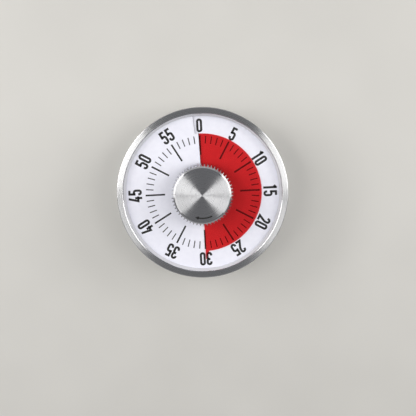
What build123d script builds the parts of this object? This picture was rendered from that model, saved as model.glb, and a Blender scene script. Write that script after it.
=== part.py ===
from build123d import *
import os
from math import acos, atan2, cos, degrees, hypot, pi, radians, sin

# A one-hour mechanical timer on its back: back face on z = 0, dial towards +Z, twelve o'clock along +Y.
# Lengths are millimetres. Bearings are degrees, clockwise from twelve o'clock as on the dial.

# Driving dimensions of the finished timer
case_radius = 39.0
body_height = 23.0
overall_height = 33.0
knob_radius = 13.8

# Working clearances
fit_gap = 0.1
running_gap = 0.03
clear_gap = 0.4
overrun = 2.0

# Drawn steel case
shell_sheet = 0.8
rim_width = 3.0
rim_height = 3.0
rim_edge = 0.5
shell_bend = 2.5
case_taper = 4.0

# Moulded back
cover_flange = 1.0
cover_floor = 2.2
cover_edge = 0.4
spigot_rise = 1.0
spigot_wall = 2.0
magnet_radius = 7.5
magnet_height = 1.6
magnet_recess = 0.1
magnet_gap = 2.1
magnet_bearings = (90, 270)
slot_width = 1.6
slot_spacing = 4.0
slot_first_radius = 14.0
slot_rows = 3
slot_span = 56
slot_bearings = (0, 180)
cover_screw_bearings = (30, 150, 270)
boss_end = 1.0
cover_head_depth = 0.3
boss_radius = 2.4
boss_set = 1.6

# Bell
bell_gap = 1.1
bell_rim_gap = 1.1
bell_sheet = 0.6
bell_bend = 2.5
bell_boss_radius = 4.0
bell_boss_height = 0.8
bell_screw_grip = 2.0

# Screws, by head and shank
screw_head_radius = 1.9
screw_head_height = 0.8
screw_shank_radius = 1.0
screw_slot_width = 0.5
screw_slot_depth = 0.35
thread_gap = 0.02

# Spring barrel and mainspring
barrel_radius = 11.0
barrel_sheet = 0.4
barrel_tab_width = 3.0
barrel_tab_bearings = (100, 190, 340)
spring_room_share = 0.356
spring_sheet = 0.25
spring_turns = 6.5
collet_radius = 3.2

# Movement plates
plate_set = 3.5
plate_gap = 1.1
plate_sheet = 1.0
pillar_radius = 2.0
pillar_edge = 3.0
pillar_bearings = (60, 135, 225, 330)
pillar_core = 1.1
movement_screw_edge = 2.0
movement_screw_bearings = (0, 120, 240)
movement_screw_grip = 2.6
driver_hole_radius = 2.6

# Gear train: the knob shaft turns once an hour and the escape wheel runs 216 times as fast
wheel_sheet = 0.6
main_sheet = 0.8
ratchet_sheet = 0.6
level_gap_share = 0.096
pinion_overhang = 0.3
main_module_share = 1 / 63
main_teeth = 54
second_leaves = 9
second_module_share = 0.8
second_teeth = 48
third_leaves = 8
third_module_share = 0.72
third_teeth = 48
escape_leaves = 8
second_bearing = 300
third_bearing = 220
escape_bearing = 140
anchor_bearing = 130
train_arbor_radius = 0.8
pivot_radius = 0.5
wheel_windows = 5
window_rim = 1.6
window_hub = 2.6
main_window_bearing = 25

# Tooth outlines, as shares of the module or of the half tooth pitch
tooth_width_share = 0.82
dedendum_share = 1.15
wheel_addendum_share = 0.85
wheel_flank_shares = (1.25, 1.0, 0.35)
pinion_addendum_share = 0.65
pinion_flank_shares = (1.0, 1.0, 0.5)

# Escapement
escape_teeth = 12
escape_radius = 4.9
escape_tooth_depth = 1.4
escape_tip_width = 0.25
escape_root_width = 0.8
pallet_span_teeth = 3.5
pallet_gap = 0.12
pallet_length = 1.3
pallet_width = 0.3
anchor_arm_width = 0.8
anchor_hub_radius = 1.6
balance_radius = 5.0
balance_rim = 0.9
balance_bar = 0.8

# Main shaft with its ratchet
arbor_radius = 2.0
arbor_flat_depth = 0.5
arbor_pivot_radius = 1.2
collar_radius = 3.2
bush_wall = 1.2
bush_flange = 0.9
bush_flange_height = 0.8
clip_sheet = 0.5
clip_width = 1.4
clip_groove = 0.4
clip_mouth = 2.4
ratchet_teeth = 16
ratchet_radius = 4.6
ratchet_depth = 0.6
click_width = 1.1
click_reach = 7.5
click_distance = 8.6
click_rivet_radius = 0.6
click_rivet_spacing = 2.2

# Alarm cam and hammer
cam_radius = 7.0
cam_notch_depth = 2.2
cam_notch_width = 2.4
hammer_bearing = 120
hammer_room = 3.075
hammer_arbor_radius = 1.0
hammer_hub_radius = 2.0
trip_arm_width = 1.8
nose_length = 1.4
nose_width = 1.0
nose_gap = 0.15
hammer_reach = 10.0
hammer_arm_sheet = 0.8
head_radius = 2.0
head_gap = 1.3
strike_gap = 0.8
leaf_sheet = 0.25
leaf_gap = 0.1
leaf_share = 0.75

# Dial, film and the ring above them
dial_thickness = 0.25
film_thickness = 0.15
film_gap = 0.2
dial_hole = 6.0
ring_slope = 1.0
number_band = 8.0
dial_overlap = 1.6
dial_depth = 2.6
slit_gap = 0.3
slit_bearing = -0.7
seam_gap = 0.1
seam_bearing = -4.3
jog_gap = 0.2
film_span = 352
rest_bearing = 180
pointer_length = 3.8
pointer_width = 1.6
pointer_tip_width = 0.2
film_hub_radius = 5.0
film_hub_drop_share = 0.567
film_hub_rise = 1.4

# Moulded dial carrier
web_sheet = 1.6
web_lip = 2.0
seat_gap = 2.0
seat_drop = 0.3

# Knob
knob_gap = 1.0
knob_wall = 1.2
knob_top = 1.0
serrations = 54
serration_depth = 0.5
serration_shares = (0.36, 0.14)
knob_bevel = 1.05
cap_sheet = 0.9
cap_edge_width = 0.5
cap_edge_drop = 0.2
insert_hub_radius = 4.5
insert_flange = 1.6
insert_ribs = 6
insert_rib_sheet = 1.2

# What the sheets leave free of the body's height goes to the mainspring, the wheel levels and the dial room
helix_pitch = dial_thickness + film_thickness + 2 * film_gap
back_stack = cover_floor + bell_boss_height + bell_sheet + screw_head_height + barrel_sheet + fit_gap
train_stack = 2 * plate_sheet + 2 * wheel_sheet + main_sheet + ratchet_sheet + 3 * clear_gap
free_height = body_height - back_stack - train_stack - web_sheet - helix_pitch - dial_depth
spring_width = free_height * spring_room_share
level_gap = free_height * level_gap_share

# Heights from the back face upwards
spigot_top = cover_floor + spigot_rise
bell_z = cover_floor + bell_boss_height
barrel_z = bell_z + bell_sheet + screw_head_height + clear_gap
spring_z = barrel_z + barrel_sheet + fit_gap
rear_z = spring_z + spring_width + clear_gap
rear_top = rear_z + plate_sheet
low_z = rear_top + level_gap
mid_z = low_z + wheel_sheet + level_gap
main_z = mid_z + wheel_sheet + level_gap
ratchet_z = main_z + main_sheet
front_z = ratchet_z + ratchet_sheet + clear_gap
front_top = front_z + plate_sheet
clip_z = front_top + bush_flange_height + running_gap
dial_z = body_height - dial_depth - helix_pitch
film_hub_drop = film_hub_drop_share * (dial_z - clip_z - clip_sheet - helix_pitch / 2)
pillar_screw_grip = (front_z - rear_top - pillar_core) / 2
bell_rim_z = rear_z - bell_rim_gap
cover_screw_grip = rear_z - fit_gap - spigot_top - boss_end
rim_under = body_height - shell_sheet
film_z = dial_z + dial_thickness + film_gap
knob_z = film_z + film_thickness + helix_pitch + knob_gap
cap_z = overall_height - cap_sheet
insert_top = cap_z - knob_top
rim_start = body_height - rim_height

# Radii shared by pieces that fit one another
back_radius = case_radius - case_taper
rim_inner = case_radius - rim_width
dial_show_radius = rim_inner - ring_slope
dial_radius = dial_show_radius + dial_overlap
film_radius = dial_show_radius - number_band
jog_radius = film_radius + jog_gap
slit_angle = degrees(slit_gap / jog_radius)
seam_angle = degrees(seam_gap / jog_radius)
seat_inner_radius = film_radius + seat_gap
spigot_radius = back_radius - shell_sheet - fit_gap
plate_radius = back_radius - plate_set
carrier_inner = plate_radius + plate_gap
pillar_distance = plate_radius - pillar_edge
movement_screw_distance = plate_radius - movement_screw_edge
web_inner_radius = movement_screw_distance - web_lip
cover_screw_distance = carrier_inner - boss_set
magnet_distance = cover_screw_distance - boss_radius - magnet_gap - magnet_radius
bell_radius = pillar_distance - screw_head_radius - bell_gap
cap_radius = knob_radius - serration_depth - knob_bevel

# Gear modules fill the plate, and the hammer stands just outside the main wheel
main_module = plate_radius * main_module_share
second_module = main_module * second_module_share
third_module = main_module * third_module_share
hammer_distance = main_module * (main_teeth / 2 + wheel_addendum_share) + hammer_room
arm_circle = cam_radius + nose_gap + nose_length
nose_bearing = hammer_bearing - degrees(acos(arm_circle / hammer_distance))
head_distance = bell_radius - bell_sheet - strike_gap - head_radius


def place(radius, bearing, centre=(0, 0)):
    turn = radians(bearing)
    return (centre[0] + radius * sin(turn), centre[1] + radius * cos(turn))


def at(spot, z=0):
    return Pos(spot[0], spot[1], z)


def disc(radius, z, height, spot=(0, 0)):
    return at(spot, z) * extrude(Circle(radius), amount=height)


def ring(outer, inner, z, height, spot=(0, 0)):
    return at(spot, z) * extrude(Circle(outer) - Circle(inner), amount=height)


def bar(start, end, width, z, height):
    # A flat link with round ends centred on two places
    run = hypot(end[0] - start[0], end[1] - start[1])
    turn = degrees(atan2(end[1] - start[1], end[0] - start[0]))
    middle = ((start[0] + end[0]) / 2, (start[1] + end[1]) / 2)
    return at(middle, z) * Rot(0, 0, turn) * extrude(SlotCenterToCenter(run, width), amount=height)


def turned(points, radii=0):
    # A solid of revolution from a radius and height outline
    outline = FilletPolyline(*points, radius=radii, close=True)
    return revolve(Plane.XZ * make_face(outline), Axis.Z)


def helical_sheet(inner, outer, start, end, z, thickness):
    # A sheet that climbs clockwise by one pitch a turn; z is its underside at twelve o'clock
    rise = helix_pitch * (end - start) / 360
    inside = Helix(helix_pitch, rise, inner, lefthand=True)
    outside = Helix(helix_pitch, rise, outer, lefthand=True)
    face = Face.make_surface_from_curves(inside.edge(), outside.edge())
    sheet = extrude(face, amount=thickness, dir=(0, 0, 1))
    return Pos(0, 0, z + helix_pitch * start / 360) * Rot(0, 0, 90 - start) * sheet


def screw(spot, seat_z, grip, up=True):
    # A slotted pan-head screw whose head stands above or hangs below its seat
    head = disc(screw_head_radius, 0, screw_head_height)
    slot = Pos(0, 0, screw_head_height) * Box(
        2 * screw_head_radius + overrun, screw_slot_width, 2 * screw_slot_depth
    )
    body = head - slot + disc(screw_shank_radius, -grip, grip)
    if not up:
        body = Rot(180, 0, 0) * body
    return at(spot, seat_z) * body


def screw_hole(spot, z, height):
    return disc(screw_shank_radius + thread_gap, z, height, spot)


def shell_inner(z):
    # Inner radius of the tapered steel wall at a height below the rim
    share = (z - cover_flange) / (rim_start - cover_flange)
    return back_radius - shell_sheet + (case_radius - back_radius) * share


def toothed(teeth, module, addendum_share, flank_shares, first, spot, z, height):
    pitch_radius = teeth * module / 2
    half_width = degrees(pi * module / 2 * tooth_width_share / 2 / pitch_radius)
    root = pitch_radius - dedendum_share * module
    tip = pitch_radius + addendum_share * module
    flank = list(zip((root, pitch_radius, tip), flank_shares))
    outline = []
    for tooth in range(teeth):
        middle = first + 360 * tooth / teeth
        outline += [place(radius, middle - share * half_width) for radius, share in flank]
        outline += [place(radius, middle + share * half_width) for radius, share in reversed(flank)]
    return at(spot, z) * extrude(make_face(Polyline(*outline, close=True)), amount=height)


def train_wheel(teeth, module, first, spot, z, height, bore, window_first=0):
    # A toothed wheel with round windows between hub and rim
    wheel = toothed(teeth, module, wheel_addendum_share, wheel_flank_shares, first, spot, z, height)
    outer = teeth * module / 2 - window_rim
    window = (outer - window_hub - bore) / 2
    for turn in range(wheel_windows):
        hole = place(outer - window, window_first + 360 * turn / wheel_windows, spot)
        wheel -= disc(window, z - overrun, height + 2 * overrun, hole)
    return wheel - disc(bore, z - overrun, height + 2 * overrun, spot)


def train_arbor(spot, radius):
    # A shaft between the plates with thinner pivots running in both of them
    shaft = disc(radius, rear_top + running_gap, front_z - rear_top - 2 * running_gap, spot)
    return shaft + disc(pivot_radius, rear_z, front_top - rear_z, spot)


def pinion(leaves, module, first, spot, wheel_z, wheel_height):
    z = wheel_z - pinion_overhang
    height = wheel_height + 2 * pinion_overhang
    leafed = toothed(leaves, module, pinion_addendum_share, pinion_flank_shares, first, spot, z, height)
    return leafed + train_arbor(spot, train_arbor_radius)


# Places of the train: each shaft stands one centre distance from the shaft that drives it
main_spot = (0, 0)
second_spot = place((main_teeth + second_leaves) * main_module / 2, second_bearing)
third_spot = place((second_teeth + third_leaves) * second_module / 2, third_bearing, second_spot)
escape_spot = place((third_teeth + escape_leaves) * third_module / 2, escape_bearing, third_spot)
pallet_angle = 360 / escape_teeth * pallet_span_teeth / 2
anchor_reach = escape_radius / cos(radians(pallet_angle))
anchor_spot = place(anchor_reach, anchor_bearing, escape_spot)
hammer_spot = place(hammer_distance, hammer_bearing)
trip_spot = place(arm_circle, nose_bearing)
head_turn = degrees(
    acos(
        (hammer_distance**2 + head_distance**2 - hammer_reach**2)
        / (2 * hammer_distance * head_distance)
    )
)
head_spot = place(head_distance, hammer_bearing + head_turn)
pivot_spots = (second_spot, third_spot, escape_spot, anchor_spot)
pillar_spots = [place(pillar_distance, bearing) for bearing in pillar_bearings]
movement_spots = [place(movement_screw_distance, bearing) for bearing in movement_screw_bearings]
cover_spots = [place(cover_screw_distance, bearing) for bearing in cover_screw_bearings]
magnet_spots = [place(magnet_distance, bearing) for bearing in magnet_bearings]


def case_shell():
    wall = case_radius - shell_sheet
    points = (
        (back_radius, cover_flange),
        (case_radius, rim_start),
        (case_radius, body_height),
        (rim_inner, body_height),
        (rim_inner, rim_under),
        (wall, rim_under),
        (wall, rim_start),
        (back_radius - shell_sheet, cover_flange),
    )
    return turned(points, (0, shell_bend, rim_edge, rim_edge, 0, 0, shell_bend, 0))


def dial_ring():
    outer = case_radius - shell_sheet - fit_gap
    points = (
        (dial_show_radius, dial_z),
        (outer, dial_z),
        (outer, rim_under),
        (rim_inner, rim_under),
        (dial_show_radius, rim_under - dial_thickness - shell_sheet),
    )
    body = turned(points)
    reach = case_radius + overrun
    middle = seam_bearing + 180
    for start in (seam_bearing, middle):
        z = dial_z + dial_thickness - overrun
        body -= helical_sheet(dial_hole, reach, start, start + 180, z, overrun)
    return body


def dial_sheet():
    print_zone = helical_sheet(
        dial_hole, jog_radius, slit_bearing, slit_bearing + 360 - slit_angle, dial_z, dial_thickness
    )
    rim_zone = helical_sheet(
        jog_radius, dial_radius, seam_bearing, seam_bearing + 360 - seam_angle, dial_z, dial_thickness
    )
    return print_zone + rim_zone


def dial_carrier():
    flat_z = dial_z - seat_drop
    web_top = front_top + web_sheet
    points = (
        (shell_inner(spigot_top) - fit_gap, spigot_top),
        (shell_inner(flat_z) - fit_gap, flat_z),
        (seat_inner_radius, flat_z),
        (seat_inner_radius, web_top),
        (web_inner_radius, web_top),
        (web_inner_radius, front_top),
        (carrier_inner, front_top),
        (carrier_inner, spigot_top),
    )
    body = turned(points)
    seat_depth = helix_pitch + 2 * seat_drop
    seat_end = seam_bearing + 360 - seam_angle
    body += helical_sheet(
        seat_inner_radius, dial_radius, seam_bearing, seat_end, dial_z - seat_depth, seat_depth
    )
    boss_height = rear_z - fit_gap - spigot_top
    for spot in cover_spots:
        body += disc(boss_radius, spigot_top, boss_height, spot)
    for spot in cover_spots:
        body -= screw_hole(spot, spigot_top - overrun, overrun + cover_screw_grip + fit_gap)
    for spot in pillar_spots:
        pocket = screw_head_height + fit_gap
        body -= disc(screw_head_radius + fit_gap, front_top - overrun, overrun + pocket, spot)
    for spot in movement_spots:
        body -= screw_hole(spot, front_top - overrun, overrun + movement_screw_grip + fit_gap)
    return body


def rear_cover():
    points = (
        (0, 0),
        (back_radius, 0),
        (back_radius, cover_flange),
        (spigot_radius, cover_flange),
        (spigot_radius, spigot_top),
        (spigot_radius - spigot_wall, spigot_top),
        (spigot_radius - spigot_wall, cover_floor),
        (0, cover_floor),
    )
    body = turned(points, (0, cover_edge, 0, 0, 0, 0, 0, 0))
    body += disc(bell_boss_radius, cover_floor, bell_boss_height)
    body -= screw_hole(main_spot, bell_z - bell_screw_grip - fit_gap, bell_screw_grip + overrun)
    head_room = cover_head_depth + screw_head_height
    for spot in cover_spots:
        body += disc(boss_radius, cover_floor, spigot_rise, spot)
    for spot in cover_spots:
        body -= disc(screw_head_radius + fit_gap, -overrun, overrun + head_room, spot)
        body -= screw_hole(spot, -overrun, spigot_top + 2 * overrun)
    for spot in magnet_spots:
        body -= disc(magnet_radius + fit_gap, -overrun, overrun + magnet_recess + magnet_height, spot)
    for bearing in slot_bearings:
        for row in range(slot_rows):
            radius = slot_first_radius + row * slot_spacing
            arc = CenterArc((0, 0), radius, 90 - bearing - slot_span / 2, slot_span)
            slot = extrude(SlotArc(arc, slot_width), amount=cover_floor + 2 * overrun)
            body -= Pos(0, 0, -overrun) * slot
    return body


def magnets():
    return [disc(magnet_radius, magnet_recess, magnet_height, spot) for spot in magnet_spots]


def cover_screws():
    seat = cover_head_depth + screw_head_height
    grip = spigot_top - seat + cover_screw_grip
    return [screw(spot, seat, grip, up=False) for spot in cover_spots]


def bell():
    wall = bell_radius - bell_sheet
    hole = screw_shank_radius + fit_gap
    points = (
        (hole, bell_z),
        (bell_radius, bell_z),
        (bell_radius, bell_rim_z),
        (wall, bell_rim_z),
        (wall, bell_z + bell_sheet),
        (hole, bell_z + bell_sheet),
    )
    return turned(points, (0, bell_bend, 0, 0, bell_bend - bell_sheet, 0))


def bell_screw():
    return screw(main_spot, bell_z + bell_sheet, bell_sheet + bell_screw_grip)


def front_plate():
    through = plate_sheet + 2 * overrun
    body = disc(plate_radius, front_z, plate_sheet)
    for spot in pivot_spots + (hammer_spot,):
        body -= disc(pivot_radius + running_gap, front_z - overrun, through, spot)
    body -= disc(arbor_radius + bush_wall, front_z - overrun, through)
    for spot in pillar_spots + movement_spots:
        body -= screw_hole(spot, front_z - overrun, through)
    return body


def barrel_tab(bearing, z, height, gap):
    # One upright tab of the barrel, or with a gap the slot that takes it
    middle = barrel_radius - barrel_sheet / 2
    block = extrude(Rectangle(barrel_tab_width + 2 * gap, barrel_sheet + 2 * gap), amount=height)
    return at(place(middle, bearing), z) * Rot(0, 0, -bearing) * block


def rear_plate():
    through = plate_sheet + 2 * overrun
    body = disc(plate_radius, rear_z, plate_sheet)
    for spot in pivot_spots:
        body -= disc(pivot_radius + running_gap, rear_z - overrun, through, spot)
    body -= disc(hammer_arbor_radius + running_gap, rear_z - overrun, through, hammer_spot)
    body -= disc(arbor_radius + running_gap, rear_z - overrun, through)
    for spot in pillar_spots:
        body -= screw_hole(spot, rear_z - overrun, through)
    for spot in movement_spots:
        body -= disc(driver_hole_radius, rear_z - overrun, through, spot)
    for bearing in barrel_tab_bearings:
        body -= barrel_tab(bearing, rear_z - overrun, through, fit_gap)
    return body


def pillars():
    posts = []
    for spot in pillar_spots:
        post = disc(pillar_radius, rear_top, front_z - rear_top, spot)
        depth = pillar_screw_grip + fit_gap
        post -= screw_hole(spot, rear_top - overrun, overrun + depth)
        post -= screw_hole(spot, front_z - depth, overrun + depth)
        posts.append(post)
    return posts


def front_plate_screws():
    return [screw(spot, front_top, plate_sheet + pillar_screw_grip) for spot in pillar_spots]


def rear_plate_screws():
    return [screw(spot, rear_z, plate_sheet + pillar_screw_grip, up=False) for spot in pillar_spots]


def movement_screws():
    return [screw(spot, front_z, plate_sheet + movement_screw_grip, up=False) for spot in movement_spots]


def front_bush():
    outer = arbor_radius + bush_wall
    body = disc(outer, front_z, plate_sheet) + disc(outer + bush_flange, front_top, bush_flange_height)
    height = plate_sheet + bush_flange_height + 2 * overrun
    return body - disc(arbor_radius + running_gap, front_z - overrun, height)


def spring_barrel():
    cup = disc(barrel_radius, barrel_z, rear_z - barrel_z)
    cup -= disc(barrel_radius - barrel_sheet, barrel_z + barrel_sheet, rear_z)
    cup -= disc(arbor_pivot_radius + running_gap, barrel_z - overrun, 2 * overrun)
    for bearing in barrel_tab_bearings:
        cup += barrel_tab(bearing, rear_z - clear_gap, plate_sheet + clear_gap, 0)
    return cup


def spiral(first, growth, halves):
    # Half circles about two centres, each one wider than the last
    arcs = []
    for half in range(halves):
        side = 1 - 2 * (half % 2)
        start = side * (first + growth / 2 * half)
        end = -side * (first + growth / 2 * (half + 1))
        arcs.append(ThreePointArc((0, start), ((start - end) / 2, (start + end) / 2), (0, end)))
    return arcs


def mainspring():
    # A flat strip wound from the collet out to the barrel wall
    first = collet_radius + fit_gap
    last = barrel_radius - barrel_sheet - fit_gap - spring_sheet
    halves = round(2 * spring_turns)
    growth = 2 * (last - first) / halves
    inner = spiral(first, growth, halves)
    outer = spiral(first + spring_sheet, growth, halves)
    ends = [Line(inner[0] @ 0, outer[0] @ 0), Line(inner[-1] @ 1, outer[-1] @ 1)]
    return Pos(0, 0, spring_z) * extrude(make_face(inner + outer + ends), amount=spring_width)


def spring_collet():
    return ring(collet_radius, arbor_radius, spring_z, spring_width)


def arbor_section(gap):
    # Round shaft section with one flat, grown by a gap
    size = 2 * (arbor_radius + gap)
    flat = Pos(-arbor_flat_depth, 0) * Rectangle(size, size)
    return Circle(arbor_radius + gap) & flat


def main_arbor():
    flat_z = dial_z - film_hub_drop - helix_pitch
    body = disc(arbor_radius, spring_z, flat_z - spring_z)
    body += disc(arbor_pivot_radius, barrel_z, spring_z - barrel_z)
    body += disc(collar_radius, main_z - level_gap, level_gap)
    body += Pos(0, 0, flat_z) * extrude(arbor_section(0), amount=insert_top - flat_z)
    return body - ring(arbor_radius + overrun, arbor_radius - clip_groove, clip_z, clip_sheet)


def arbor_clip():
    inner = arbor_radius - clip_groove
    outer = inner + clip_width
    mouth = Pos(0, outer, clip_z) * Box(clip_mouth, 2 * outer, 2 * overrun)
    return ring(outer, inner, clip_z, clip_sheet) - mouth


def main_wheel():
    # The click's rivets go through a spoke between two windows
    bore = arbor_radius + running_gap
    wheel = train_wheel(
        main_teeth, main_module, second_bearing, main_spot, main_z, main_sheet, bore, main_window_bearing
    )
    for spot in click_rivet_spots():
        wheel -= disc(click_rivet_radius, main_z - overrun, main_sheet + 2 * overrun, spot)
    return wheel


def ratchet_wheel():
    # Saw teeth that let the knob wind on while the click holds the wheel
    outline = []
    for tooth in range(ratchet_teeth):
        bearing = 360 * tooth / ratchet_teeth
        outline.append(place(ratchet_radius - ratchet_depth, bearing))
        outline.append(place(ratchet_radius, bearing))
    blank = extrude(make_face(Polyline(*outline, close=True)), amount=ratchet_sheet)
    return Pos(0, 0, ratchet_z) * blank - disc(arbor_radius, ratchet_z - overrun, 2 * overrun)


def click_rivet_spots():
    first = (click_distance, click_reach / 2)
    return [first, (click_distance, first[1] + click_rivet_spacing)]


def click_spring():
    # A leaf riveted to the main wheel whose tip lies against the ratchet
    first, last = click_rivet_spots()
    tip = (ratchet_radius + click_width / 2 + fit_gap, 0)
    body = bar(tip, first, click_width, ratchet_z, ratchet_sheet)
    body += bar(first, last, click_width + 2 * click_rivet_radius, ratchet_z, ratchet_sheet)
    for spot in (first, last):
        body -= disc(click_rivet_radius, ratchet_z - overrun, ratchet_sheet + 2 * overrun, spot)
    return body


def click_rivets():
    height = main_sheet + ratchet_sheet
    return [disc(click_rivet_radius, main_z, height, spot) for spot in click_rivet_spots()]


def second_pinion():
    gap = second_bearing + 180 + 180 / second_leaves
    return pinion(second_leaves, main_module, gap, second_spot, main_z, main_sheet)


def second_wheel():
    return train_wheel(
        second_teeth, second_module, third_bearing, second_spot, mid_z, wheel_sheet, train_arbor_radius
    )


def third_pinion():
    gap = third_bearing + 180 + 180 / third_leaves
    return pinion(third_leaves, second_module, gap, third_spot, mid_z, wheel_sheet)


def third_wheel():
    return train_wheel(
        third_teeth, third_module, escape_bearing, third_spot, low_z, wheel_sheet, train_arbor_radius
    )


def escape_pinion():
    gap = escape_bearing + 180 + 180 / escape_leaves
    return pinion(escape_leaves, third_module, gap, escape_spot, low_z, wheel_sheet)


def escape_wheel():
    root = escape_radius - escape_tooth_depth
    tip_half = degrees(escape_tip_width / 2 / escape_radius)
    root_half = degrees(escape_root_width / 2 / root)
    outline = []
    for tooth in range(escape_teeth):
        middle = anchor_bearing + 360 * tooth / escape_teeth
        outline.append(place(root, middle - root_half))
        outline.append(place(escape_radius, middle - tip_half))
        outline.append(place(escape_radius, middle + tip_half))
        outline.append(place(root, middle + root_half))
    blank = extrude(make_face(Polyline(*outline, close=True)), amount=wheel_sheet)
    bore = disc(train_arbor_radius, mid_z - overrun, wheel_sheet + 2 * overrun, escape_spot)
    return at(escape_spot, mid_z) * blank - bore


def anchor_arbor():
    return train_arbor(anchor_spot, train_arbor_radius)


def anchor():
    body = disc(anchor_hub_radius, mid_z, wheel_sheet, anchor_spot)
    for side in (-1, 1):
        bearing = anchor_bearing + side * pallet_angle
        shoulder = place(escape_radius + pallet_gap + pallet_length, bearing, escape_spot)
        tip = place(escape_radius + pallet_gap + pallet_width / 2, bearing, escape_spot)
        body += bar(anchor_spot, shoulder, anchor_arm_width, mid_z, wheel_sheet)
        body += bar(shoulder, tip, pallet_width, mid_z, wheel_sheet)
    return body - disc(train_arbor_radius, mid_z - overrun, wheel_sheet + 2 * overrun, anchor_spot)


def balance():
    body = ring(balance_radius, balance_radius - balance_rim, low_z, wheel_sheet, anchor_spot)
    inner = balance_radius - balance_rim / 2
    ends = [place(inner, anchor_bearing + turn, anchor_spot) for turn in (90, 270)]
    body += bar(ends[0], ends[1], balance_bar, low_z, wheel_sheet)
    body += disc(anchor_hub_radius, low_z, wheel_sheet, anchor_spot)
    return body - disc(train_arbor_radius, low_z - overrun, wheel_sheet + 2 * overrun, anchor_spot)


def alarm_cam():
    # A disc that holds the hammer back until its notch comes round at zero
    body = disc(cam_radius, low_z, wheel_sheet)
    notch = Box(cam_notch_width, 2 * cam_notch_depth, 2 * overrun)
    turn = nose_bearing + rest_bearing
    body -= at(place(cam_radius, turn), low_z) * Rot(0, 0, -turn) * notch
    return body - disc(arbor_radius, low_z - overrun, wheel_sheet + 2 * overrun)


def hammer_arbor():
    low = hammer_arm_z()
    body = disc(hammer_arbor_radius, low, front_z - running_gap - low, hammer_spot)
    return body + disc(pivot_radius, low, front_top - low, hammer_spot)


def hammer_arm_z():
    # The arm hangs just below the rear plate
    return rear_z - clear_gap - hammer_arm_sheet


def trip_arm():
    body = bar(hammer_spot, trip_spot, trip_arm_width, low_z, wheel_sheet)
    nose = place(cam_radius + nose_gap + nose_width / 2, nose_bearing)
    body += bar(trip_spot, nose, nose_width, low_z, wheel_sheet)
    body += disc(hammer_hub_radius, low_z, wheel_sheet, hammer_spot)
    return body - disc(hammer_arbor_radius, low_z - overrun, wheel_sheet + 2 * overrun, hammer_spot)


def hammer_arm():
    z = hammer_arm_z()
    body = bar(hammer_spot, head_spot, trip_arm_width, z, hammer_arm_sheet)
    body += disc(hammer_hub_radius, z, hammer_arm_sheet, hammer_spot)
    return body - disc(hammer_arbor_radius, z - overrun, hammer_arm_sheet + 2 * overrun, hammer_spot)


def hammer_head():
    z = bell_z + bell_sheet + head_gap
    return disc(head_radius, z, hammer_arm_z() - z, head_spot)


def hammer_spring():
    # A leaf from the nearest pillar that presses the trip arm against the cam
    touch_x = hammer_spot[0] + leaf_share * (trip_spot[0] - hammer_spot[0])
    touch_y = hammer_spot[1] + leaf_share * (trip_spot[1] - hammer_spot[1])
    post = pillar_spots[0]
    run = hypot(touch_x - post[0], touch_y - post[1])
    turn = degrees(atan2(touch_y - post[1], touch_x - post[0]))
    length = run - pillar_radius - trip_arm_width / 2 - leaf_gap
    leaf = Box(length, leaf_sheet, wheel_sheet, align=(Align.MIN, Align.CENTER, Align.MIN))
    return at(post, low_z) * Rot(0, 0, turn) * Pos(pillar_radius, 0, 0) * leaf


def film_hub():
    z = dial_z - film_hub_drop
    body = disc(film_hub_radius, z, film_hub_drop + film_hub_rise)
    bore = extrude(arbor_section(running_gap), amount=film_hub_drop + film_hub_rise + 2 * overrun)
    return body - Pos(0, 0, z - overrun) * bore


def red_film():
    start = rest_bearing - film_span
    film = helical_sheet(film_hub_radius, film_radius, start, rest_bearing, film_z, film_thickness)
    base = degrees(pointer_width / film_radius)
    far = film_radius + pointer_length
    tip = degrees(pointer_tip_width / far)
    patch = helical_sheet(film_radius, far, rest_bearing - base, rest_bearing, film_z, film_thickness)
    outline = Polyline(
        place(film_radius - pointer_width, rest_bearing + base),
        place(film_radius - pointer_width, rest_bearing - base),
        place(film_radius, rest_bearing - base),
        place(far, rest_bearing - tip),
        place(far + overrun, rest_bearing - tip),
        place(far + overrun, rest_bearing + base),
        close=True,
    )
    wedge = Pos(0, 0, film_z - overrun) * extrude(make_face(outline), amount=helix_pitch + 2 * overrun)
    return film + (patch & wedge)


def serrated_prism(z, height):
    outline = []
    pitch = 360 / serrations
    valley = knob_radius - serration_depth
    for tooth in range(serrations):
        middle = tooth * pitch
        for radius, share in zip((valley, knob_radius), serration_shares):
            outline.append(place(radius, middle - share * pitch))
        for radius, share in zip((knob_radius, valley), reversed(serration_shares)):
            outline.append(place(radius, middle + share * pitch))
    return Pos(0, 0, z) * extrude(make_face(Polyline(*outline, close=True)), amount=height)


def knob_body():
    cavity = knob_radius - serration_depth - knob_wall
    bevel_z = cap_z - knob_bevel - serration_depth
    points = (
        (cavity, knob_z),
        (knob_radius, knob_z),
        (knob_radius, bevel_z),
        (cap_radius, cap_z),
        (0, cap_z),
        (0, insert_top),
        (cavity, insert_top),
    )
    return serrated_prism(knob_z, cap_z - knob_z) & turned(points)


def knob_cap():
    points = (
        (0, cap_z),
        (cap_radius, cap_z),
        (cap_radius, overall_height - cap_edge_drop),
        (cap_radius - cap_edge_width, overall_height),
        (0, overall_height),
    )
    return turned(points)


def knob_insert():
    # Moulded boss that grips the flat of the shaft and fills the metal knob
    cavity = knob_radius - serration_depth - knob_wall
    body = disc(insert_hub_radius, knob_z, insert_top - knob_z)
    body += disc(cavity, insert_top - insert_flange, insert_flange)
    rib_height = (insert_top - knob_z) / 2
    for rib in range(insert_ribs):
        end = place(cavity - insert_rib_sheet, 360 * rib / insert_ribs)
        body += bar(main_spot, end, insert_rib_sheet, insert_top - rib_height, rib_height)
    bore = extrude(arbor_section(0), amount=insert_top - knob_z + overrun)
    return body - Pos(0, 0, knob_z - overrun) * bore


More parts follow.
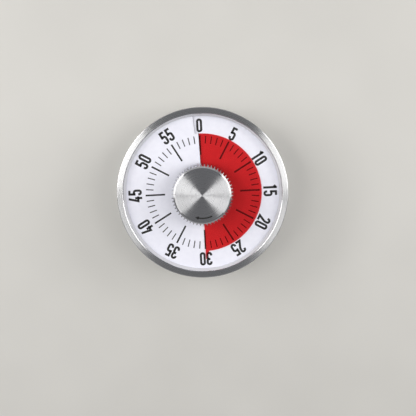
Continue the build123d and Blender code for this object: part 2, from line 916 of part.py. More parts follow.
pieces = (
    case_shell, dial_ring, dial_sheet, dial_carrier, rear_cover, magnets, cover_screws, bell, bell_screw,
    front_plate, rear_plate, pillars, front_plate_screws, rear_plate_screws, movement_screws, front_bush,
    spring_barrel, mainspring, spring_collet, main_arbor, arbor_clip, main_wheel, ratchet_wheel,
    click_spring, click_rivets, second_pinion, second_wheel, third_pinion, third_wheel, escape_pinion,
    escape_wheel, anchor_arbor, anchor, balance, alarm_cam, hammer_arbor, trip_arm, hammer_arm,
    hammer_head, hammer_spring, film_hub, red_film, knob_body, knob_cap, knob_insert,
)

os.makedirs("parts", exist_ok=True)
for piece in pieces:
    solid = piece()
    if isinstance(solid, list):
        solid = Compound(children=solid)
    export_step(solid, f"parts/{piece.__name__}.step")
    print(piece.__name__, round(solid.volume, 2))
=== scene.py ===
from math import atan2, cos, pi, radians, sin, tan

import bpy
from mathutils import Matrix, Vector


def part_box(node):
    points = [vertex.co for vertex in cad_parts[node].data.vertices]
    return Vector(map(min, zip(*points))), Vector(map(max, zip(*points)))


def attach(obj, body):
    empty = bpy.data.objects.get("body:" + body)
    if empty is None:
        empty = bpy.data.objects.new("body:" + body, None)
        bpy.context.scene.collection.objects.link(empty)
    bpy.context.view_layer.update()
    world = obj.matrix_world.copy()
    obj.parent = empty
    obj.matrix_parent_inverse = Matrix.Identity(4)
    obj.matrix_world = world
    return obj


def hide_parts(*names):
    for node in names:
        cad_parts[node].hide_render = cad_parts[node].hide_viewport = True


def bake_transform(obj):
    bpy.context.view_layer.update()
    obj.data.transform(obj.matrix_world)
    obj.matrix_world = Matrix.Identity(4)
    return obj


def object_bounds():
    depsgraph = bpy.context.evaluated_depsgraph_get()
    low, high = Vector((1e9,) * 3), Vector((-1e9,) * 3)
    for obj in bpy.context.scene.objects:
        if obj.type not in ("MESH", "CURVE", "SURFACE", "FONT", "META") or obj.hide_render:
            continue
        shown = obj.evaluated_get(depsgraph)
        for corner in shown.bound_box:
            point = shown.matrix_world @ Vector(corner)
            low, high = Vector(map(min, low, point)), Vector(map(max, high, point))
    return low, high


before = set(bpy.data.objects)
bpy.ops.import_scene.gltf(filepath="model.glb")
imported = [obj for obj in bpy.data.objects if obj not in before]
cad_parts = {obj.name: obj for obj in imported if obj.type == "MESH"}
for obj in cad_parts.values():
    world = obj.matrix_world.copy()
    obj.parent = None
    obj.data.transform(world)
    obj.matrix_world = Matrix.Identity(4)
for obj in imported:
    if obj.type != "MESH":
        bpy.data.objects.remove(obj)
cadBox = [list(corner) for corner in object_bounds()]
mm = 0.001  # the frame is in metres, the settings below in millimetres
print("frame loaded:", len(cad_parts), "nodes")


def deselectAll():
    if bpy.context.object and bpy.context.object.mode != "OBJECT":
        bpy.ops.object.mode_set(mode="OBJECT")
    bpy.ops.object.select_all(action="DESELECT")


def makeActive(piece):
    deselectAll()
    piece.select_set(True)
    bpy.context.view_layer.objects.active = piece


def toLinear(hexColour):
    channels = [int(hexColour[i:i + 2], 16) / 255 for i in (1, 3, 5)]
    return [c / 12.92 if c <= 0.04045 else ((c + 0.055) / 1.055) ** 2.4 for c in channels] + [1.0]


def addNode(tree, kind, inputs, **settings):
    node = tree.nodes.new(kind)
    for name, value in settings.items():
        setattr(node, name, value)
    for name, value in inputs.items():
        if isinstance(value, bpy.types.NodeSocket):
            tree.links.new(value, node.inputs[name])
        else:
            node.inputs[name].default_value = value
    return node


def dress(piece, material):
    piece.data.materials.clear()
    piece.data.materials.append(material)


def startMaterial(name):
    material = bpy.data.materials.new(name)
    material.use_nodes = True
    material.node_tree.nodes.clear()
    return material, material.node_tree


latheNoise = {"detail": 2.0, "roughness": 0.6}
grainNoise = {"metal": 4.0, "moulding": 3.0, "sheet": 2.0, "roughness": 0.55}  # detail by kind
noiseRange = (0.3, 0.7)  # where nearly all of a noise's values lie


def ringPattern(tree, pitch):
    # lathe lines: the noise only changes with the radius and the height, so it runs round the axis
    place = addNode(tree, "ShaderNodeTexCoord", {}).outputs["Object"]
    axes = addNode(tree, "ShaderNodeSeparateXYZ", {"Vector": place})
    flat = addNode(tree, "ShaderNodeCombineXYZ", {"X": axes.outputs["X"], "Y": axes.outputs["Y"]})
    radius = addNode(tree, "ShaderNodeVectorMath", {0: flat.outputs[0]}, operation="LENGTH")
    turned = addNode(tree, "ShaderNodeCombineXYZ", {
        "X": radius.outputs["Value"], "Y": axes.outputs["Z"],
    })
    lines = addNode(tree, "ShaderNodeTexNoise", {
        "Vector": turned.outputs[0], "Scale": 1 / (pitch * mm),
        "Detail": latheNoise["detail"], "Roughness": latheNoise["roughness"],
    }, noise_dimensions="2D")
    return lines.outputs["Fac"]


def grainPattern(tree, grain, kind):
    place = addNode(tree, "ShaderNodeTexCoord", {}).outputs["Object"]
    noise = addNode(tree, "ShaderNodeTexNoise", {
        "Vector": place, "Scale": 1 / (grain * mm),
        "Detail": grainNoise[kind], "Roughness": grainNoise["roughness"],
    })
    return noise.outputs["Fac"]


def mapTo(tree, pattern, low, high):
    spread = addNode(tree, "ShaderNodeMapRange", {
        "Value": pattern, "From Min": noiseRange[0], "From Max": noiseRange[1],
        "To Min": low, "To Max": high,
    })
    return spread.outputs["Result"]


def tintTo(tree, pattern, dark, light):
    tint = addNode(tree, "ShaderNodeMix", {
        "Factor": mapTo(tree, pattern, 0.0, 1.0), 6: toLinear(dark), 7: toLinear(light),
    }, data_type="RGBA")
    return tint.outputs[2]


def closeMaterial(tree, shader):
    addNode(tree, "ShaderNodeOutputMaterial", {"Surface": shader.outputs[0]})


# Metals

flatFace = (0.94, 0.99)  # upward share of the normal: edges below the first, flat above the second
metalGrainDepth = 0.02


def turnedMetal(name, look):
    material, tree = startMaterial(name)
    lines = ringPattern(tree, look["linePitch"])
    relief = addNode(tree, "ShaderNodeBump", {
        "Height": lines, "Strength": look["relief"], "Distance": look["lineDepth"] * mm,
    })
    tangent = addNode(tree, "ShaderNodeTangent", {}, direction_type="RADIAL", axis="Z")
    # only the flat face keeps the lathe lines' spread: its edges are cut bright
    facing = addNode(tree, "ShaderNodeTexCoord", {}).outputs["Normal"]
    upward = addNode(tree, "ShaderNodeSeparateXYZ", {"Vector": facing}).outputs["Z"]
    flatness = addNode(tree, "ShaderNodeMapRange", {
        "Value": upward, "From Min": flatFace[0], "From Max": flatFace[1],
    })
    spread = addNode(tree, "ShaderNodeMix", {
        "Factor": flatness.outputs["Result"], 2: look["edgeRoughness"],
        3: mapTo(tree, lines, *look["roughness"]),
    }, data_type="FLOAT")
    shader = addNode(tree, "ShaderNodeBsdfPrincipled", {
        "Base Color": tintTo(tree, lines, look["dark"], look["light"]),
        "Metallic": 1.0,
        "Roughness": spread.outputs[0],
        "Anisotropic": look["anisotropy"],
        "Anisotropic Rotation": look["lineTurn"],
        "Tangent": tangent.outputs[0],
        "Normal": relief.outputs[0],
    })
    closeMaterial(tree, shader)
    return material


def plainMetal(name, look):
    material, tree = startMaterial(name)
    grain = grainPattern(tree, look["grain"], "metal")
    relief = addNode(tree, "ShaderNodeBump", {
        "Height": grain, "Strength": look["relief"], "Distance": metalGrainDepth * mm,
    })
    shader = addNode(tree, "ShaderNodeBsdfPrincipled", {
        "Base Color": tintTo(tree, grain, look["dark"], look["light"]),
        "Metallic": 1.0,
        "Roughness": mapTo(tree, grain, *look["roughness"]),
        "Normal": relief.outputs[0],
    })
    closeMaterial(tree, shader)
    return material


# Stainless sheet, drawn and then turned: lathe lines spread the light into fans across them
caseLook = {
    "dark": "#cdced0", "light": "#dbdcde", "roughness": (0.27, 0.33), "edgeRoughness": 0.22,
    "anisotropy": 1.0, "lineTurn": 0.25, "linePitch": 0.35, "lineDepth": 0.01, "relief": 0.35,
}
# Aluminium bar, faced on a lathe and clear anodised: greyer than the case, with finer lines
knobLook = {
    "dark": "#c0c1c4", "light": "#d1d2d5", "roughness": (0.26, 0.33), "edgeRoughness": 0.07,
    "anisotropy": 1.0, "lineTurn": 0.25, "linePitch": 0.3, "lineDepth": 0.01, "relief": 0.35,
}
# The same bar where it is milled: no lines, bright clean cuts
gripLook = {
    "dark": "#c4c5c8", "light": "#d2d3d6", "roughness": (0.16, 0.2), "grain": 0.6, "relief": 0.05,
}
# Bright drawn steel of shafts, screws and leaf springs: faint cloudy polish
steelLook = {
    "dark": "#9d9fa1", "light": "#b9bbbd", "roughness": (0.24, 0.34), "grain": 1.5, "relief": 0.1,
}
# Stamped brass sheet: warm, slightly uneven from rolling
brassLook = {
    "dark": "#b08c41", "light": "#cfae63", "roughness": (0.26, 0.38), "grain": 2.0, "relief": 0.12,
}
# Nickel plate on a pressed steel bell: close to a mirror
bellLook = {
    "dark": "#b9b8b4", "light": "#cac9c5", "roughness": (0.12, 0.2), "grain": 3.0, "relief": 0.06,
}


# Plastics and ferrite

def mouldedPlastic(name, look):
    material, tree = startMaterial(name)
    grain = grainPattern(tree, look["grain"], "moulding")
    relief = addNode(tree, "ShaderNodeBump", {
        "Height": grain, "Strength": look["relief"], "Distance": look["grainDepth"] * mm,
    })
    shader = addNode(tree, "ShaderNodeBsdfPrincipled", {
        "Base Color": tintTo(tree, grain, look["dark"], look["light"]),
        "Roughness": mapTo(tree, grain, *look["roughness"]),
        "IOR": look["ior"],
        "Normal": relief.outputs[0],
    })
    closeMaterial(tree, shader)
    return material


# ABS moulding in satin white with a very fine spark-worn texture; its colour is set to a light
# grey, partly the moulding's own cool tone and partly painted shade for the shadow that the rim
# casts on it
ringLookGreyedForShade = {
    "dark": "#cecfd5", "light": "#d4d5db", "roughness": (0.38, 0.46), "ior": 1.53, "grain": 0.4,
    "grainDepth": 0.01, "relief": 0.2,
}
# Calendered white vinyl sheet with a cool brightener: flat, faintly clouded
dialLook = {
    "dark": "#ebecf8", "light": "#f0f1fc", "roughness": (0.42, 0.5), "ior": 1.53, "grain": 2.5,
    "grainDepth": 0.004, "relief": 0.15,
}
# ABS moulding in black with a spark-worn texture that dulls the light
coverLook = {
    "dark": "#1a1b1d", "light": "#242527", "roughness": (0.48, 0.62), "ior": 1.53, "grain": 0.45,
    "grainDepth": 0.03, "relief": 0.5,
}
# Acetal moulding in grey: waxy and smooth
carrierLook = {
    "dark": "#86898b", "light": "#909395", "roughness": (0.34, 0.42), "ior": 1.48, "grain": 1.2,
    "grainDepth": 0.008, "relief": 0.2,
}
# Sintered ferrite: dark grey, gritty, a little sparkle on the grains
ferriteLook = {
    "dark": "#303033", "light": "#48484c", "roughness": (0.5, 0.7), "ior": 1.6, "grain": 0.35,
    "grainDepth": 0.03, "relief": 0.5,
}


# Film, ink and board

def filmSheet(name, look):
    # Dyed polyester film: each face lets red light pass, scatters a little back and is smooth
    material, tree = startMaterial(name)
    cloud = grainPattern(tree, look["cloud"], "sheet")
    through = addNode(tree, "ShaderNodeBsdfTransparent", {"Color": toLinear(look["through"])})
    face = addNode(tree, "ShaderNodeBsdfPrincipled", {
        "Base Color": tintTo(tree, cloud, look["dark"], look["light"]),
        "Roughness": mapTo(tree, cloud, *look["roughness"]),
        "IOR": look["ior"],
    })
    mixed = addNode(tree, "ShaderNodeMixShader", {
        "Fac": look["scatter"], 1: through.outputs[0], 2: face.outputs[0],
    })
    closeMaterial(tree, mixed)
    return material


filmLook = {
    "through": "#f5a4a6", "dark": "#d8474a", "light": "#e14e51", "roughness": (0.3, 0.4),
    "ior": 1.5, "cloud": 4.0, "scatter": 0.08,
}


def mattCoat(name, look):
    material, tree = startMaterial(name)
    mottle = grainPattern(tree, look["mottle"], "sheet")
    shader = addNode(tree, "ShaderNodeBsdfPrincipled", {
        "Base Color": tintTo(tree, mottle, look["dark"], look["light"]),
        "Roughness": mapTo(tree, mottle, *look["roughness"]),
    })
    closeMaterial(tree, shader)
    return material


materials = {
    "steel_case": turnedMetal("turned stainless steel", caseLook),
    # the ring's light grey is partly painted shade from the rim
    "white_ring": mouldedPlastic("white satin ABS greyed as painted shade", ringLookGreyedForShade),
    "white_dial": mouldedPlastic("white vinyl sheet", dialLook),
    "red_film": filmSheet("red polyester film", filmLook),
    "knob_metal": turnedMetal("turned anodised aluminium", knobLook),
    "black_moulding": mouldedPlastic("black textured ABS", coverLook),
    "grey_moulding": mouldedPlastic("grey acetal", carrierLook),
    "plain_steel": plainMetal("bright drawn steel", steelLook),
    "wheel_brass": plainMetal("stamped brass", brassLook),
    "magnet_ferrite": mouldedPlastic("sintered ferrite", ferriteLook),
    "bell_steel": plainMetal("nickel plated steel", bellLook),
}

finishes = {
    "steel_case": ["case_shell"],
    "white_ring": ["dial_ring"],
    "white_dial": ["dial_sheet"],
    "red_film": ["red_film"],
    "knob_metal": ["knob_body", "knob_cap"],
    "black_moulding": ["rear_cover", "knob_insert"],
    "grey_moulding": ["dial_carrier", "film_hub"],
    "wheel_brass": [
        "front_plate", "rear_plate", "front_bush", "main_wheel", "second_wheel", "third_wheel",
        "escape_wheel", "balance", "alarm_cam", "spring_collet", "hammer_head",
    ],
    "magnet_ferrite": ["magnets"],
    "bell_steel": ["bell"],
}
finishOf = {node: slot for slot, nodes in finishes.items() for node in nodes}
for node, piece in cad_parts.items():
    dress(piece, materials[finishOf.get(node, "plain_steel")])
print("finishes on", len(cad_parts), "nodes")


# Wires drawn flat in millimetres on the bench, from which the pieces below are turned and printed

cornerSegments = 8
weld = 0.002      # points nearer than this become one
sameSpot = 1e-4   # a point this near a spot is the one meant


def startWire(name, x, y):
    # one point, in edit mode, from which a wire is drawn
    deselectAll()
    bpy.ops.mesh.primitive_plane_add(size=1, location=(0, 0, 0))
    wire = bpy.context.object
    wire.name = name
    wire.data.name = name
    bpy.ops.object.mode_set(mode="EDIT")
    bpy.ops.mesh.merge(type="CENTER")
    bpy.ops.transform.translate(value=(x, y, 0))
    return wire


def pickVertices(piece, wanted):
    bpy.ops.object.mode_set(mode="OBJECT")
    for part in (piece.data.polygons, piece.data.edges):
        for item in part:
            item.select = False
    for vertex in piece.data.vertices:
        vertex.select = wanted(vertex)
    bpy.ops.object.mode_set(mode="EDIT")


def selectVertices(piece, spots):
    pickVertices(piece, lambda vertex: any(
        abs(vertex.co.x - x) + abs(vertex.co.y - y) < sameSpot for x, y, _ in spots
    ))


def bentWire(name, points, closed):
    # points are (x, y, corner radius)
    wire = startWire(name, points[0][0], points[0][1])
    for (x0, y0, _), (x1, y1, _) in zip(points, points[1:]):
        bpy.ops.mesh.extrude_region_move(TRANSFORM_OT_translate={"value": (x1 - x0, y1 - y0, 0)})
    if closed:
        selectVertices(wire, [points[0], points[-1]])
        bpy.ops.mesh.edge_face_add()
    for x, y, corner in points:
        if corner:
            selectVertices(wire, [(x, y, corner)])
            bpy.ops.mesh.bevel(
                affect="VERTICES", offset_type="OFFSET", offset=corner,
                segments=cornerSegments, profile=0.5,
            )
    bpy.ops.mesh.select_all(action="SELECT")
    bpy.ops.mesh.remove_doubles(threshold=weld)
    bpy.ops.object.mode_set(mode="OBJECT")
    return wire


def joinPieces(parts, name):
    makeActive(parts[0])
    for part in parts:
        part.select_set(True)
    bpy.ops.object.join()
    bpy.context.object.name = name
    bpy.context.object.data.name = name
    return bpy.context.object


def copyOf(master):
    makeActive(master)
    bpy.ops.object.duplicate()
    return bpy.context.object


def settle(piece, matrix):
    # its place goes into the mesh and the object stays at the origin
    makeActive(piece)
    piece.matrix_world = matrix
    bpy.context.view_layer.update()
    bpy.ops.object.transform_apply(location=True, rotation=True, scale=True)


def closeForm(form, smooth):
    # faces outwards, millimetres to the frame's metres, edges up to an angle shaded round
    bpy.ops.mesh.select_all(action="SELECT")
    bpy.ops.mesh.normals_make_consistent(inside=False)
    bpy.ops.object.mode_set(mode="OBJECT")
    settle(form, Matrix.Scale(mm, 4))
    bpy.ops.object.shade_smooth_by_angle(angle=radians(smooth))


# Case: the drawn shell is turned again with fine steps, because its bright edges mirror every facet

steelCase = {
    "taper": 4.0, "sheet": 0.8, "rimWidth": 3.0, "rimHeight": 3.0, "rimEdge": 0.5, "bend": 2.5,
    "hold": 0.08,  # from each rounded edge to the line that keeps the rim's face flat
    "steps": 180, "smooth": 35.0,
}


def turnCase():
    low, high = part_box("case_shell")
    outer = min(high.x, high.y, -low.x, -low.y) / mm
    bottom, top = low.z / mm, high.z / mm
    sheet, edge, bend = steelCase["sheet"], steelCase["rimEdge"], steelCase["bend"]
    inner = outer - steelCase["rimWidth"]
    foot = outer - steelCase["taper"]
    shoulder = top - steelCase["rimHeight"]
    held = edge + steelCase["hold"]
    shell = bentWire("caseShell", [
        (foot, bottom, 0), (outer, shoulder, bend), (outer, top - held, 0), (outer, top, edge),
        (outer - held, top, 0), (inner + held, top, 0), (inner, top, edge), (inner, top - sheet, 0),
        (outer - sheet, top - sheet, 0), (outer - sheet, shoulder, bend), (foot - sheet, bottom, 0),
    ], True)
    settle(shell, Matrix.Rotation(radians(90), 4, "X"))
    bpy.ops.object.mode_set(mode="EDIT")
    bpy.ops.mesh.select_all(action="SELECT")
    bpy.ops.mesh.spin(steps=steelCase["steps"], angle=2 * pi, center=(0, 0, 0), axis=(0, 0, 1))
    bpy.ops.mesh.select_all(action="SELECT")
    bpy.ops.mesh.remove_doubles(threshold=weld)
    closeForm(shell, steelCase["smooth"])
    return shell


caseShell = turnCase()
dress(caseShell, materials["steel_case"])
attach(caseShell, "case")
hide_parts("case_shell")
print("case turned:", len(caseShell.data.polygons), "faces")


# Knob: the skirt is cut again with grooves as deep as they show, in bright milled metal

knobGrip = {
    "teeth": 54, "pointsPerTooth": 6,  # the two middle points make the tip, the rest the groove
    "depth": 0.9, "wall": 0.8, "roof": 1.0, "smooth": 30.0,
    "shoulderSlope": 35.0,  # from the cap to the grooves, while the tips fall away at 45 degrees
}


def isTip(place):
    share = atan2(place.x, place.y) / (2 * pi) * knobGrip["teeth"]
    return abs(share - round(share)) < 1 / knobGrip["pointsPerTooth"]


def drawRing(grip, tip, valley):
    # the ring in hand is drawn on: each tooth's tip and valley go to their own radius and height
    bpy.ops.mesh.extrude_region_move()
    bpy.ops.object.mode_set(mode="OBJECT")
    ring = [vertex.index for vertex in grip.data.vertices if vertex.select]
    for spot, onTip in ((tip, True), (valley, False)):
        part = [i for i in ring if isTip(grip.data.vertices[i].co) == onTip]
        start = grip.data.vertices[part[0]].co.copy()
        wider = spot[0] / start.xy.length
        chosen = set(part)
        pickVertices(grip, lambda vertex: vertex.index in chosen)
        bpy.ops.transform.resize(value=(wider, wider, 1), center_override=(0, 0, 0))
        bpy.ops.transform.translate(value=(0, 0, spot[1] - start.z))
    whole = set(ring)
    pickVertices(grip, lambda vertex: vertex.index in whole)


def grooveKnob():
    low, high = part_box("knob_body")
    tip = high.y / mm
    valley = tip - knobGrip["depth"]
    cavity = valley - knobGrip["wall"]
    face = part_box("knob_cap")[1].y / mm
    bottom, top = low.z / mm, high.z / mm
    deselectAll()
    points = knobGrip["teeth"] * knobGrip["pointsPerTooth"]
    bpy.ops.mesh.primitive_circle_add(
        vertices=points, radius=cavity, location=(0, 0, top - knobGrip["roof"]),
        rotation=(0, 0, pi / points),
    )
    grip = bpy.context.object
    grip.name = "knobGrip"
    grip.data.name = "knobGrip"
    bpy.ops.object.transform_apply(location=True, rotation=True, scale=True)
    bpy.ops.object.mode_set(mode="EDIT")
    bpy.ops.mesh.select_all(action="SELECT")
    drawRing(grip, (cavity, bottom), (cavity, bottom))
    drawRing(grip, (tip, bottom), (valley, bottom))
    shoulder = top - (valley - face) * tan(radians(knobGrip["shoulderSlope"]))
    drawRing(grip, (tip, shoulder - knobGrip["depth"]), (valley, shoulder - knobGrip["depth"]))
    drawRing(grip, (valley, shoulder), (valley, shoulder))
    drawRing(grip, (face, top), (face, top))
    bpy.ops.mesh.edge_face_add()
    pickVertices(grip, lambda vertex: vertex.index < points)
    bpy.ops.mesh.edge_face_add()
    closeForm(grip, knobGrip["smooth"])
    return grip


knobSkirt = grooveKnob()
dress(knobSkirt, plainMetal("milled anodised aluminium", gripLook))
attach(knobSkirt, "knob")
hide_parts("knob_body")
print("knob grooved:", len(knobSkirt.data.polygons), "faces")


# Hammer spring: the leaf bends with the arm that it presses on; a copy of it is cut into short
# lengths

hammerLeaf = {"cuts": 15, "longEdge": 5.0, "weld": 0.001}


def bendingLeaf():
    leaf = bpy.data.objects.new("hammerLeaf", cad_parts["hammer_spring"].data.copy())
    bpy.context.collection.objects.link(leaf)
    makeActive(leaf)
    bpy.ops.object.mode_set(mode="EDIT")
    bpy.ops.mesh.select_all(action="SELECT")
    bpy.ops.mesh.remove_doubles(threshold=hammerLeaf["weld"] * mm)
    bpy.ops.mesh.tris_convert_to_quads()
    bpy.ops.mesh.select_mode(type="EDGE")
    bpy.ops.mesh.select_all(action="DESELECT")
    bpy.ops.object.mode_set(mode="OBJECT")
    corners = leaf.data.vertices
    for edge in leaf.data.edges:
        first, last = (corners[i].co for i in edge.vertices)
        edge.select = (last - first).length > hammerLeaf["longEdge"] * mm
    bpy.ops.object.mode_set(mode="EDIT")
    bpy.ops.mesh.subdivide(number_cuts=hammerLeaf["cuts"])
    bpy.ops.mesh.select_mode(type="VERT")
    bpy.ops.object.mode_set(mode="OBJECT")
    return leaf


springLeaf = bendingLeaf()
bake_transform(springLeaf)
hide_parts("hammer_spring")
print("hammer spring cut:", len(springLeaf.data.polygons), "faces")


# Print on the dial: every mark is a pen stroke on the bench that is then laid on the dial

# Screen-printed ink: nearly black, matt, with a little mottle
inkLook = {"dark": "#0e0d0e", "light": "#151415", "roughness": (0.5, 0.6), "mottle": 0.6}
dialInk = mattCoat("black screen ink", inkLook)

dialPrint = {
    "inkDepth": 0.06, "inkSink": 0.03,  # half sunk, so that it meets the climbing dial all along
    "sheet": 0.25, "climb": 0.8, "seamBearing": -4.3,  # the dial climbs from its seam once round
    "minuteTurn": 6.0,
    "minuteInner": 22.5, "minuteOuter": 25.9, "minuteWidth": 0.44,
    "fiveInner": 17.2, "fiveOuter": 26.1, "fiveWidth": 0.76,
    "numberInner": 27.55,
    "digitWidth": 1.68, "digitHeight": 5.2, "penWidth": 1.0, "digitGap": 0.35,
    # as printed, most numbers stand a little clockwise of their tick, nearer or farther out
    "numberShift": {
        5: (0.2, -0.6), 10: (0.6, -0.5), 15: (0.3, 0.2), 20: (-0.4, 0.0), 25: (0.2, -0.2),
        35: (0.1, -0.2), 40: (0.9, 0.0), 45: (0.1, 0.2), 50: (0.4, -0.2), 55: (0.4, -0.3),
    },
}
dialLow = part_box("dial_sheet")[0].z
minutes = range(60)
fives = range(0, 60, 5)


def raiseInk():
    # the marks in hand stand up from the bench by the ink's depth
    bpy.ops.object.mode_set(mode="EDIT")
    bpy.ops.mesh.select_all(action="SELECT")
    bpy.ops.mesh.extrude_region_move(
        TRANSFORM_OT_translate={"value": (0, 0, dialPrint["inkDepth"])},
    )
    bpy.ops.mesh.select_all(action="SELECT")
    bpy.ops.mesh.normals_make_consistent(inside=False)
    bpy.ops.object.mode_set(mode="OBJECT")


def inkLine(wire, width):
    raiseInk()
    ink = wire.modifiers.new("ink", "SOLIDIFY")
    ink.thickness = width
    ink.offset = 0
    ink.use_even_offset = True
    bpy.ops.object.modifier_apply(modifier="ink")
    return wire


def onDial(bearing, radius=0.0):
    # bench to dial: x runs clockwise along the dial, y outwards
    climbed = dialPrint["climb"] * (bearing - dialPrint["seamBearing"]) / 360
    height = dialLow + (dialPrint["sheet"] + climbed - dialPrint["inkSink"]) * mm
    turn = Matrix.Rotation(radians(-bearing), 4, "Z")
    outward = Matrix.Translation((0, radius * mm, 0))
    return Matrix.Translation((0, 0, height)) @ turn @ outward @ Matrix.Scale(mm, 4)


def layTicks(name, inner, outer, width, marked):
    master = inkLine(bentWire("tick", [(0, inner, 0), (0, outer, 0)], False), width)
    ticks = []
    for minute in marked:
        tick = copyOf(master)
        settle(tick, onDial(dialPrint["minuteTurn"] * minute))
        ticks.append(tick)
    makeActive(master)
    bpy.ops.object.delete()
    return joinPieces(ticks, name)


minuteTicks = layTicks(
    "minuteTicks", dialPrint["minuteInner"], dialPrint["minuteOuter"], dialPrint["minuteWidth"],
    [minute for minute in minutes if minute not in fives],
)
fiveTicks = layTicks(
    "fiveMinuteTicks", dialPrint["fiveInner"], dialPrint["fiveOuter"], dialPrint["fiveWidth"],
    fives,
)
print("ticks printed")

wide = dialPrint["digitWidth"]
tall = dialPrint["digitHeight"]
half = dialPrint["penWidth"] / 2
bow = 0.48 * wide         # round shoulders of the narrow digits
waist = 0.54 * tall       # where the 3 pinches in
belly = waist + 0.3       # top of the 5's bowl
bar = 0.25 * tall         # cross bar of the 4
hook = 1.2                # how far an open end turns back
# each stroke: its points with their corner radii, and whether it closes
digitStrokes = {
    "0": [([(0, 0, bow), (wide, 0, bow), (wide, tall, bow), (0, tall, bow)], True)],
    "1": [
        ([(1.15, -half, 0), (1.15, tall + half, 0)], False),
        ([(0.2, tall - 0.75, 0), (1.25, tall, 0)], False),
    ],
    "2": [(
        [(0, tall - hook, 0), (0, tall, bow), (wide, tall, bow), (wide, tall - 2.0, 0.6),
         (0.05, 0, 0), (wide + half, 0, 0)], False,
    )],
    "3": [
        ([(0, tall - hook, 0), (0, tall, bow), (wide, tall, bow), (wide, waist, bow),
          (0.4, waist, 0)], False),
        ([(0.4, waist, 0), (wide, waist, bow), (wide, 0, bow), (0, 0, bow), (0, hook, 0)], False),
    ],
    "4": [
        ([(0.95, tall + half, 0), (-0.1, bar, 0), (wide + 0.35, bar, 0)], False),
        ([(wide - 0.4, 0.52 * tall, 0), (wide - 0.4, -half, 0)], False),
    ],
    "5": [
        ([(wide + 0.1, tall, 0), (0.05, tall, 0), (0, waist - 0.35, 0)], False),
        ([(0, waist - 0.35, 0), (0, belly, 0.5), (wide, belly, bow), (wide, 0, bow), (0, 0, bow),
          (0, hook, 0)], False),
    ],
}
digitAdvance = wide + 2 * half + dialPrint["digitGap"]


def drawDigit(digit):
    strokes = [
        inkLine(bentWire("stroke", points, closed), dialPrint["penWidth"])
        for points, closed in digitStrokes[digit]
    ]
    return joinPieces(strokes, "digit" + digit)


digitMasters = {digit: drawDigit(digit) for digit in digitStrokes}
numbers = []
for minute in fives:
    word = str(minute)
    span = len(word) * digitAdvance - dialPrint["digitGap"]
    aside, outward = dialPrint["numberShift"].get(minute, (0, 0))
    base = onDial(dialPrint["minuteTurn"] * minute, dialPrint["numberInner"] + half + outward)
    left = aside - span / 2 + half
    for digit in word:
        glyph = copyOf(digitMasters[digit])
        settle(glyph, base @ Matrix.Translation((left, 0, 0)))
        numbers.append(glyph)
        left += digitAdvance
for master in digitMasters.values():
    makeActive(master)
    bpy.ops.object.delete()
dialNumbers = joinPieces(numbers, "dialNumbers")
for printed in (minuteTicks, fiveTicks, dialNumbers):
    dress(printed, dialInk)
    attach(printed, "case")
print("numbers printed:", len(numbers), "digits")


# Arrow on the knob: a thin arc with a small head that says which way to wind

arrow = {
    "radius": 10.15, "from": 157.0, "to": 195.5, "steps": 24, "width": 0.62,
    "headLength": 1.7, "headWidth": 1.5, "proud": 0.01,
}
# the triangle that fits in a circle of radius 1
triangle = {"width": 1.732, "length": 1.5}
# Pad-printed ink, a little smoother than the dial's
arrowLook = {"dark": "#0c0c0d", "light": "#131314", "roughness": (0.4, 0.5), "mottle": 0.6}


def arrowHead():
    deselectAll()
    bpy.ops.mesh.primitive_circle_add(vertices=3, radius=1, fill_type="NGON", location=(0, 0, 0))
    head = bpy.context.object
    bpy.ops.object.mode_set(mode="EDIT")
    wider = arrow["headWidth"] / triangle["width"]
    longer = arrow["headLength"] / triangle["length"]
    bpy.ops.transform.resize(value=(wider, longer, 1))
    raiseInk()
    turn = Matrix.Rotation(radians(-arrow["to"]), 4, "Z")
    ahead = Matrix.Rotation(radians(-90), 4, "Z")
    settle(head, turn @ Matrix.Translation((0, arrow["radius"], 0)) @ ahead)
    return head


def windArrow():
    start = radians(arrow["from"])
    line = startWire("arc", arrow["radius"] * sin(start), arrow["radius"] * cos(start))
    bpy.ops.mesh.spin(
        steps=arrow["steps"], angle=radians(arrow["to"] - arrow["from"]),
        center=(0, 0, 0), axis=(0, 0, 1),
    )
    inkLine(line, arrow["width"])
    return joinPieces([line, arrowHead()], "windArrow")


windingArrow = windArrow()
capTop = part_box("knob_cap")[1].z
arrowLow = capTop - dialPrint["inkDepth"] * mm + arrow["proud"] * mm
settle(windingArrow, Matrix.Translation((0, 0, arrowLow)) @ Matrix.Scale(mm, 4))
dress(windingArrow, mattCoat("black pad ink", arrowLook))
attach(windingArrow, "knob")
print("arrow printed")


# Floor, lamps and camera

# Painted board: pale, matt, with wide soft clouds
floorSize = 4000.0
floorLook = {"dark": "#cbcac6", "light": "#d0cfcb", "roughness": (0.55, 0.65), "mottle": 60.0}


def layFloor():
    deselectAll()
    bpy.ops.mesh.primitive_plane_add(size=floorSize * mm, location=(0, 0, cadBox[0][2]))
    floor = bpy.context.object
    floor.name = "floor"
    dress(floor, mattCoat("pale matt board", floorLook))


layFloor()

# degrees the view leans, stands aside and rolls, and the rim's width and centre in picture pixels
view = {
    "tilt": 6.0, "side": 1.0, "roll": 3.0, "distance": 400.0, "pixels": 416, "rimPixels": 171.8,
    "rimCentre": (202.6, 193.3), "sensor": 36.0, "nearest": 10.0,
}

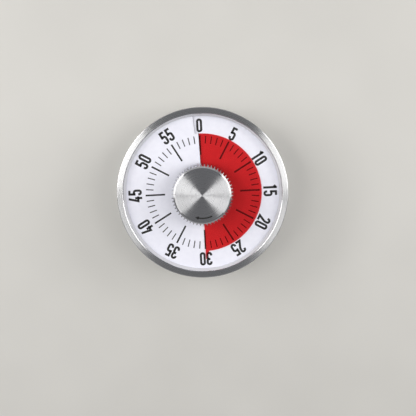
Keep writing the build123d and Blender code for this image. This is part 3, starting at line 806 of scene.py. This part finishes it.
softBoxes = {
    "distance": 620.0, "colour": "#fffdfa", "leftShare": 1.1, "rightShare": 0.99,
    "room": 0.19, "roomTint": (1, 1, 1.03, 1),
    # fans in degrees: turn from the side and half width, rows of lean, half height and brightness
    "upper": {"turn": 22.4, "halfTurn": 21.1, "rows": [
        (20.0, 5.0, 3.7), (31.0, 6.0, 4.1), (44.0, 7.0, 0.9), (58.0, 7.0, 5.7),
    ]},
    "edge": {"turn": 18.5, "halfTurn": 27.0, "rows": [(77.0, 12.0, 1.4)]},
    "top": {"turn": 95.0, "halfTurn": 40.0, "rows": [(79.0, 13.0, 0.4)]},
    "bottom": {"turn": -90.0, "halfTurn": 50.0, "rows": [(76.0, 12.0, 0.25)]},
    "lower": {"turn": -21.0, "halfTurn": 19.5, "rows": [
        (20.0, 5.0, 0.7), (31.0, 6.0, 0.3), (44.0, 7.0, 0.9),
    ]},
}


def softBox(side, fan, row, share):
    # the rig leans and rolls with the view, so that the lathe lines fan its light evenly both ways
    rig = Matrix.Rotation(radians(view["tilt"]), 3, "X")
    rig = rig @ Matrix.Rotation(radians(-view["roll"]), 3, "Z")
    distance = softBoxes["distance"] * mm
    turn, halfTurn = radians(fan["turn"]), radians(fan["halfTurn"])
    lean, halfLean, brightness = radians(row[0]), radians(row[1]), row[2]
    away = rig @ Vector((side * sin(lean) * cos(turn), sin(lean) * sin(turn), cos(lean)))
    flat = rig @ Vector((-side * sin(turn), cos(turn), 0))
    deselectAll()
    bpy.ops.object.light_add(type="AREA", location=away * distance)
    lamp = bpy.context.object
    lamp.rotation_euler = Matrix((flat, away.cross(flat), away)).transposed().to_euler()
    lamp.data.shape = "RECTANGLE"
    lamp.data.size = 2 * distance * sin(lean) * tan(halfTurn)
    lamp.data.size_y = 2 * distance * tan(halfLean)
    lamp.data.color = toLinear(softBoxes["colour"])[:3]
    lamp.data.energy = share * brightness * pi * lamp.data.size * lamp.data.size_y


for fan in (softBoxes["upper"], softBoxes["edge"], softBoxes["lower"]):
    for row in fan["rows"]:
        softBox(-1, fan, row, softBoxes["leftShare"])
        softBox(1, fan, row, softBoxes["rightShare"])
for fan in (softBoxes["top"], softBoxes["bottom"]):
    for row in fan["rows"]:
        softBox(1, fan, row, 1.0)


def lightRoom():
    room = bpy.data.worlds.new("room")
    bpy.context.scene.world = room
    room.use_nodes = True
    backdrop = room.node_tree.nodes["Background"]
    backdrop.inputs["Strength"].default_value = softBoxes["room"]
    backdrop.inputs["Color"].default_value = softBoxes["roomTint"]


lightRoom()


def placeCamera():
    rimLow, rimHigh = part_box("case_shell")
    rimCentre = Vector((0, 0, rimHigh.z))
    pixel = (rimHigh.x - rimLow.x) / view["rimPixels"]
    tilt = radians(view["tilt"])
    aside = radians(view["side"])
    away = Vector((sin(aside), sin(tilt) * cos(aside), cos(tilt) * cos(aside)))
    across = Vector((0, 1, 0)).cross(away).normalized()
    upward = away.cross(across)
    roll = Matrix.Rotation(radians(-view["roll"]), 3, away)
    across = roll @ across
    upward = roll @ upward
    offRight = (view["pixels"] / 2 - view["rimCentre"][0]) * pixel
    offDown = (view["pixels"] / 2 - view["rimCentre"][1]) * pixel
    eye = rimCentre + away * view["distance"] * mm
    aim = rimCentre + across * offRight - upward * offDown
    back = (eye - aim).normalized()
    right = upward.cross(back).normalized()
    deselectAll()
    bpy.ops.object.camera_add(location=eye)
    camera = bpy.context.object
    camera.rotation_euler = Matrix((right, back.cross(right), back)).transposed().to_euler()
    camera.data.sensor_width = view["sensor"]
    camera.data.lens = view["sensor"] * view["distance"] * mm / (view["pixels"] * pixel)
    camera.data.clip_start = view["nearest"] * mm
    bpy.context.scene.camera = camera


placeCamera()
bpy.context.scene.view_settings.view_transform = "Standard"
print("floor, lamps and camera set")
